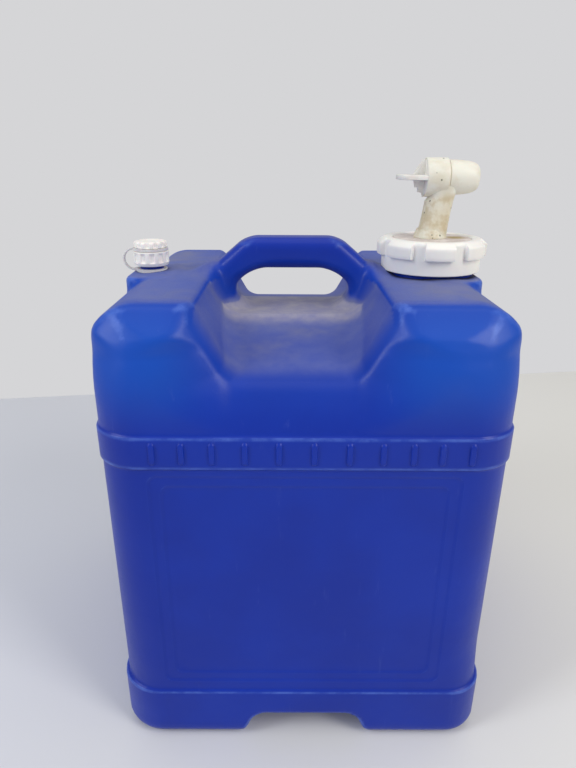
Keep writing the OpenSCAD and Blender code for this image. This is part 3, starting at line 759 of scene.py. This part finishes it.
def moulded_plastic(name, base, second, grain=30.0, speck=0.0, grime_hex="8A8272", roughness=0.42, haze=0.5,
                    stain_below=None):
    """Injection-moulded plastic: a main colour clouded by a second one, with fine specks of dirt.

    grain is the size of the clouds in millimetres, haze how strong they are, and speck how much of the
    surface the specks take. Below the height stain_below, in millimetres, the surface is stained browner.
    """
    material, tree, shader = begin_material(name, **{"IOR": 1.49, "Subsurface Weight": 0.08,
                                                     "Subsurface Scale": 0.002})
    place = add_node(tree, "ShaderNodeTexCoord", output="Object")
    cloud = add_node(tree, "ShaderNodeTexNoise",
                     {"Vector": place, "Scale": per_mm(grain), "Detail": 4, "Roughness": 0.6}, "Fac")
    fine = add_node(tree, "ShaderNodeTexNoise",
                    {"Vector": place, "Scale": per_mm(1.2), "Detail": 2, "Roughness": 0.5}, "Fac")
    hazy = add_node(tree, "ShaderNodeMapRange", {0: cloud, 1: 0.38, 2: 0.68, 4: haze}, 0, **SOFT)
    layers = [(hazy, second)]
    if stain_below:
        height = add_node(tree, "ShaderNodeSeparateXYZ", {0: place}, "Z")
        low = add_node(tree, "ShaderNodeMapRange", {0: height, 1: (stain_below - 6) / 1000,
                                                    2: stain_below / 1000, 3: 1.0, 4: 0.0}, 0, **SOFT)
        patch = add_node(tree, "ShaderNodeTexNoise",
                         {"Vector": place, "Scale": per_mm(11), "Detail": 4, "Roughness": 0.6}, "Fac")
        patchy = add_node(tree, "ShaderNodeMapRange",
                          {0: patch, 1: 0.4, 2: 0.65, 3: 0.25, 4: 0.9}, 0, **SOFT)
        stain = add_node(tree, "ShaderNodeMath", {0: low, 1: patchy}, 0, **PRODUCT)
        layers.append((stain, "C9BA98"))
    if speck:
        reach = add_node(tree, "ShaderNodeTexVoronoi", {"Vector": place, "Scale": per_mm(6.5)}, "Distance")
        near = add_node(tree, "ShaderNodeMapRange", {0: reach, 1: 0.06, 2: 0.16, 3: 1.0, 4: 0.0}, 0, **SOFT)
        region = add_node(tree, "ShaderNodeTexNoise",
                          {"Vector": place, "Scale": per_mm(9), "Detail": 1, "Roughness": 0.5}, "Fac")
        some = add_node(tree, "ShaderNodeMapRange",
                        {0: region, 1: 0.62 - speck, 2: 0.70 - speck}, 0, **SOFT)
        specks = add_node(tree, "ShaderNodeMath", {0: near, 1: some}, 0, **PRODUCT)
        layers.append((specks, grime_hex))
    colour = rgba(linear(base))
    for mask, tint in layers:
        colour = add_node(tree, "ShaderNodeMix", {0: mask, 6: colour, 7: rgba(linear(tint))}, 2, **COLOURS)
    tree.links.new(colour, shader.inputs["Base Color"])
    rough = add_node(tree, "ShaderNodeMapRange",
                     {0: cloud, 1: 0.3, 2: 0.7, 3: roughness, 4: roughness + 0.12}, 0, **SOFT)
    tree.links.new(rough, shader.inputs["Roughness"])
    bump = add_node(tree, "ShaderNodeBump", {"Height": fine, "Strength": 0.15, "Distance": 0.0001}, 0)
    tree.links.new(bump, shader.inputs["Normal"])
    return material


def dusty_disc():
    """Injection-moulded disc under settled dust: pinkish brown, with a yellow-brown stain by the stem."""
    material, tree, shader = begin_material("injection_moulded_disc_dusty",
                                            **{"IOR": 1.49, "Roughness": 0.6})
    place = add_node(tree, "ShaderNodeTexCoord", output="Object")
    cloud = add_node(tree, "ShaderNodeTexNoise",
                     {"Vector": place, "Scale": per_mm(12), "Detail": 5, "Roughness": 0.65}, "Fac")
    film = add_node(tree, "ShaderNodeMapRange", {0: cloud, 1: 0.3, 2: 0.7}, 0, **SOFT)
    away = add_node(tree, "ShaderNodeVectorMath", {0: place, 1: (0.121, 0.0, 0.380)}, "Value",
                    operation="DISTANCE")
    near = add_node(tree, "ShaderNodeMapRange", {0: away, 1: 0.003, 2: 0.012, 3: 0.9, 4: 0.0}, 0, **SOFT)
    patchy = add_node(tree, "ShaderNodeMapRange", {0: cloud, 1: 0.3, 2: 0.6, 3: 0.4, 4: 1.0}, 0, **SOFT)
    stain = add_node(tree, "ShaderNodeMath", {0: near, 1: patchy}, 0, **PRODUCT)
    colour = rgba(linear("E6DED9"))
    for mask, tint in ((film, "C6B9B2"), (stain, "B09A62")):
        colour = add_node(tree, "ShaderNodeMix", {0: mask, 6: colour, 7: rgba(linear(tint))}, 2, **COLOURS)
    tree.links.new(colour, shader.inputs["Base Color"])
    bump = add_node(tree, "ShaderNodeBump", {"Height": cloud, "Strength": 0.2, "Distance": 0.0004}, 0)
    tree.links.new(bump, shader.inputs["Normal"])
    return material


def black_rubber():
    """Moulded nitrile rubber: near black, matt, with a faint bloom."""
    material, tree, shader = begin_material("moulded_nitrile_rubber", **{"IOR": 1.52, "Roughness": 0.7})
    place = add_node(tree, "ShaderNodeTexCoord", output="Object")
    bloom = add_node(tree, "ShaderNodeTexNoise",
                     {"Vector": place, "Scale": per_mm(5), "Detail": 4, "Roughness": 0.5}, "Fac")
    colour = add_node(tree, "ShaderNodeMix",
                      {0: bloom, 6: rgba(linear("1B1B1D")), 7: rgba(linear("3A3A3C"))}, 2, **COLOURS)
    tree.links.new(colour, shader.inputs["Base Color"])
    return material


def painted_floor(settings):
    """Matt pale board with painted light: cool grey and shaded on the left, turning slowly warmer and
    lighter to the right.
    """
    material, tree, shader = begin_material("painted_board_matt", **{"Roughness": 0.75})
    place = add_node(tree, "ShaderNodeTexCoord", output="Object")
    across = add_node(tree, "ShaderNodeSeparateXYZ", {0: place}, "X")
    # Painted light across the floor: shaded and cool on the left, lit and warm on the right.
    turned = add_node(tree, "ShaderNodeMapRange", {0: across, 1: -0.4, 2: 0.4}, 0, **SOFT)
    colour = add_node(tree, "ShaderNodeMix",
                      {0: turned, 6: rgba(settings.floor_left), 7: rgba(settings.floor_right)}, 2, **COLOURS)
    tree.links.new(colour, shader.inputs["Base Color"])
    return material


# ---------- settings ----------

def colour_setting(label, text, hex_colour):
    """A colour that a user may change, from its sRGB hex value."""
    return FloatVectorProperty(name=label, description=text, subtype="COLOR", size=3, min=0.0, max=1.0,
                               default=linear(hex_colour))


class WATER_PG_tank(bpy.types.PropertyGroup):
    surface_step: FloatProperty(name="Surface step", default=2.6, min=1.8, max=8.0,
                                description="Spacing of the tank's surface grid in millimetres")
    rib_width: FloatProperty(name="Rib width", description="Width of a grip rib in millimetres",
                             default=4.8, min=3.0, max=7.0)
    rib_count: IntProperty(name="Ribs", description="Grip ribs on the front, and again on the rear",
                           default=11, min=1, max=11)
    blue: colour_setting("Blue", "Main colour of the moulded tank", "082FA2")
    blue_deep: colour_setting("Deep blue", "Second colour that clouds the tank", "082A98")
    # Painted side light: the lighter blue laid on the upper outer shoulders.
    blue_sidelit: colour_setting("Sidelit blue", "Colour of the tank's faded shoulders", "0F4AB4")
    dust: colour_setting("Dust", "Colour of the dust that lies on level faces", "868693")


class WATER_PG_closures(bpy.types.PropertyGroup):
    lug_count: IntProperty(name="Lugs", description="Lugs round the screw ring", default=8, min=4, max=12)
    scallop_count: IntProperty(name="Scallops", description="Finger scallops round the vent cap",
                               default=12, min=6, max=20)
    blade_length: FloatProperty(name="Blade length", default=20.6, min=16.0, max=23.5,
                                description="Length of the tap knob's blade in millimetres")


class WATER_PG_stage(bpy.types.PropertyGroup):
    # The floor's two colours paint its light: shaded on the left, lit on the right.
    floor_left: colour_setting("Floor left", "Colour of the floor on the left", "D6D8DE")
    floor_right: colour_setting("Floor right", "Colour of the floor on the right", "E6E5E0")
    backdrop: colour_setting("Backdrop", "Colour behind the floor", "D5D5D7")
    light: FloatProperty(name="Light", description="Share of the studio's light", default=1.0, min=0.1,
                         max=3.0, subtype="FACTOR")


# ---------- operators ----------

class WATER_OT_tank(bpy.types.Operator):
    """Builds the moulded tank with its ribs and its two threaded necks"""
    bl_idname = "water.tank"
    bl_label = "Tank"

    def execute(self, context):
        settings = context.scene.water_tank
        material = blue_polyethylene(settings)
        build_tank(settings, material)
        build_ribs(settings, material)
        build_neck("fill_neck", FILL_X, material, outer=34.5, root=34.5, inner=31.5, lip=372.6, crest=1.7,
                   pitch=THREAD_PITCH, segments=288)
        build_neck("vent_neck", VENT_X, material, outer=9.5, root=9.0, inner=7.0, lip=371.0, crest=0.45,
                   pitch=VENT_PITCH, segments=144)
        return {"FINISHED"}


class WATER_OT_closure(bpy.types.Operator):
    """Builds the screw ring and dresses the disc, its gasket, its washers and the plug's seals"""
    bl_idname = "water.closure"
    bl_label = "Fill closure"

    def execute(self, context):
        white = moulded_plastic("injection_moulded_polypropylene_white", "F4F2EC", "ECEAE6", 40, haze=0.6,
                                roughness=0.38)
        build_ring(context.scene.water_closures, white)
        dress(dusty_disc(), "tap_disc")
        dress(black_rubber(), "neck_gasket", "outer_washer", "inner_washer", "plug_seal_outer",
              "plug_seal_inner")
        return {"FINISHED"}


class WATER_OT_tap(bpy.types.Operator):
    """Builds the tap's body and knob, and dresses its plug and nut"""
    bl_idname = "water.tap"
    bl_label = "Tap"

    def execute(self, context):
        cream = moulded_plastic("injection_moulded_polypropylene_aged", "EAE8DB", "DAD2BC", 16, speck=0.16,
                                grime_hex="55543A", haze=0.7, stain_below=416.0)
        knob = moulded_plastic("injection_moulded_polypropylene_knob", "ECEAE4", "D8D2C8", 10, haze=0.5)
        build_tap_body(cream)
        build_knob(context.scene.water_closures, knob)
        dress(knob, "valve_plug", "lock_nut")
        return {"FINISHED"}


class WATER_OT_vent(bpy.types.Operator):
    """Builds the vent cap and its tether, and dresses the liner and the tether's two rings"""
    bl_idname = "water.vent"
    bl_label = "Vent"

    def execute(self, context):
        cap = moulded_plastic("injection_moulded_polypropylene_vent", "F8F4EE", "EAE4DC", 8, speck=0.02,
                              grime_hex="77706A")
        tether = moulded_plastic("moulded_polyethylene_tether", "DDDBDA", "C4C0C2", 9, haze=0.6)
        liner = moulded_plastic("skived_polyethylene_liner", "D9D9D6", "C8C8C4", 6)
        build_vent_cap(context.scene.water_closures, cap)
        build_strap(tether)
        dress(tether, "tether_neck_ring", "tether_collar")
        dress(liner, "vent_liner")
        return {"FINISHED"}


class WATER_OT_stage(bpy.types.Operator):
    """Lays the floor and sets the backdrop, the soft lights and the camera"""
    bl_idname = "water.stage"
    bl_label = "Stage"

    def execute(self, context):
        settings = context.scene.water_stage
        build_floor(settings)
        build_world(settings)
        build_lights(settings)
        build_camera()
        context.scene.view_settings.view_transform = "Standard"
        return {"FINISHED"}


def dress(material, *nodes):
    """Gives CAD nodes a finish and leaves their shape alone."""
    for name in nodes:
        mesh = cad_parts[name].data
        mesh.materials.clear()
        mesh.materials.append(material)


def build_floor(settings):
    """Level floor whose far edge runs where the backdrop begins, as a flat grid of points."""
    lines = 9
    u, v = np.meshgrid(np.linspace(0, 1, lines), np.linspace(0, 1, lines), indexing="ij")
    far_left, far_right = np.array([-3566.0, 132.7]), np.array([3619.0, 1143.3])
    near_y, floor_z = -4200.0, -0.2
    x = far_left[0] + u * (far_right[0] - far_left[0])
    y = near_y + v * (far_left[1] + u * (far_right[1] - far_left[1]) - near_y)
    points = np.stack([x, y, np.full_like(x, floor_z)], -1).reshape(-1, 3)
    faces = grid_faces(lines, lines)[:, ::-1]
    floor = make_piece("floor", points, faces, painted_floor(settings), None, weld=False)


def build_world(settings):
    """Backdrop colour for the camera, and an even soft light for everything else."""
    world = bpy.data.worlds.new("studio")
    bpy.context.scene.world = world
    world.use_nodes = True
    tree = world.node_tree
    tree.nodes.clear()
    seen = add_node(tree, "ShaderNodeBackground", {"Color": rgba(settings.backdrop), "Strength": 1.0}, 0)
    way = add_node(tree, "ShaderNodeTexCoord", output="Generated")
    height = add_node(tree, "ShaderNodeSeparateXYZ", {0: way}, "Z")
    glow = add_node(tree, "ShaderNodeMapRange", {0: height, 1: -0.1, 2: 0.8, 3: 0.44, 4: 0.50}, 0, **SOFT)
    soft = add_node(tree, "ShaderNodeBackground", {"Color": (0.98, 0.98, 1.0, 1.0), "Strength": glow}, 0)
    to_camera = add_node(tree, "ShaderNodeLightPath", output="Is Camera Ray")
    surface = add_node(tree, "ShaderNodeMixShader", {0: to_camera, 1: soft, 2: seen}, 0)
    add_node(tree, "ShaderNodeOutputWorld", {"Surface": surface})


def build_lights(settings):
    """Soft lamps: a high window on the right, a lower one on the left, and a broad ceiling."""
    for name, place, turn, size, power, colour in (
        ("window_right", (1.5, -1.2, 1.5), (52, 0, 52), (0.7, 1.3), 21, "FFFBF5"),
        ("window_left", (-1.7, -0.9, 1.3), (56, 0, -62), (0.6, 1.4), 17, "F4F8FF"),
        ("ceiling", (0.0, -0.1, 2.3), (2, 0, 0), (2.2, 1.8), 9.5, "FFFFFF"),
    ):
        lamp = bpy.data.lights.new(name, "AREA")
        lamp.shape = "RECTANGLE"
        lamp.size, lamp.size_y = size
        lamp.energy = power * settings.light
        lamp.color = linear(colour)
        holder = bpy.data.objects.new(name, lamp)
        holder.location = place
        holder.rotation_euler = Euler([math.radians(t) for t in turn])
        bpy.context.scene.collection.objects.link(holder)


def build_camera():
    """Camera standing before the container and looking down on it."""
    camera = bpy.data.cameras.new("camera")
    camera.lens = 27.0
    camera.sensor_width = 36.0
    camera.clip_start = 0.01
    holder = bpy.data.objects.new("camera", camera)
    holder.location = (-0.0125, -0.4725, 0.441)
    holder.rotation_euler = Euler((math.radians(68.35), math.radians(-0.25), 0.0))
    bpy.context.scene.collection.objects.link(holder)
    bpy.context.scene.camera = holder


class WATER_PT_panel(bpy.types.Panel):
    """Lists the container's pieces and their settings"""
    bl_idname = "WATER_PT_panel"
    bl_label = "Water container"
    bl_space_type = "VIEW_3D"
    bl_region_type = "UI"
    bl_category = "Container"

    def draw(self, context):
        for group in (context.scene.water_tank, context.scene.water_closures, context.scene.water_stage):
            box = self.layout.box()
            for key in group.__annotations__:
                box.prop(group, key)
        for operator in OPERATORS:
            self.layout.operator(operator.bl_idname)


GROUPS = (
    ("water_tank", WATER_PG_tank),
    ("water_closures", WATER_PG_closures),
    ("water_stage", WATER_PG_stage),
)
OPERATORS = (WATER_OT_tank, WATER_OT_closure, WATER_OT_tap, WATER_OT_vent, WATER_OT_stage)


def register():
    for name, group in GROUPS:
        bpy.utils.register_class(group)
        setattr(bpy.types.Scene, name, PointerProperty(type=group))
    for kind in (*OPERATORS, WATER_PT_panel):
        bpy.utils.register_class(kind)


def unregister():
    for kind in reversed((*OPERATORS, WATER_PT_panel)):
        bpy.utils.unregister_class(kind)
    for name, group in reversed(GROUPS):
        delattr(bpy.types.Scene, name)
        bpy.utils.unregister_class(group)


def main():
    register()
    bpy.ops.water.tank()
    bpy.ops.water.closure()
    bpy.ops.water.tap()
    bpy.ops.water.vent()
    bpy.ops.water.stage()


if __name__ == "__main__":
    main()
